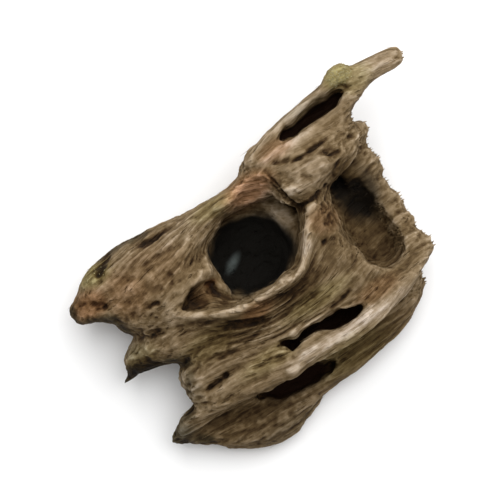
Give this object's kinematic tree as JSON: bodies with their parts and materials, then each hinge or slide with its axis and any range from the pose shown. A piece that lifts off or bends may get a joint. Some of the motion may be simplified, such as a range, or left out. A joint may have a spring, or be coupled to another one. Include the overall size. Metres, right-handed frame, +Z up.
{
  "type": "agarwood piece",
  "caption": "Gnarled, weathered piece of agarwood with a knot hole, a hollow side, broken ends and a forked splinter, lying on its split underside.",
  "frame": {"origin": "centre of the bounding box, on the surface that the piece lies on", "axes": "+X along the grain towards the forked splinter, +Y across the grain towards the fork's side, +Z up"},
  "size_m": [0.0828, 0.056, 0.0228],
  "materials": {
    "agarwood": "raw weathered wood, matte, with dark resin in the grooves and hollows"
  },
  "bodies": {
    "root": {"agarwood_piece": "agarwood"}
  },
  "joints": []
}
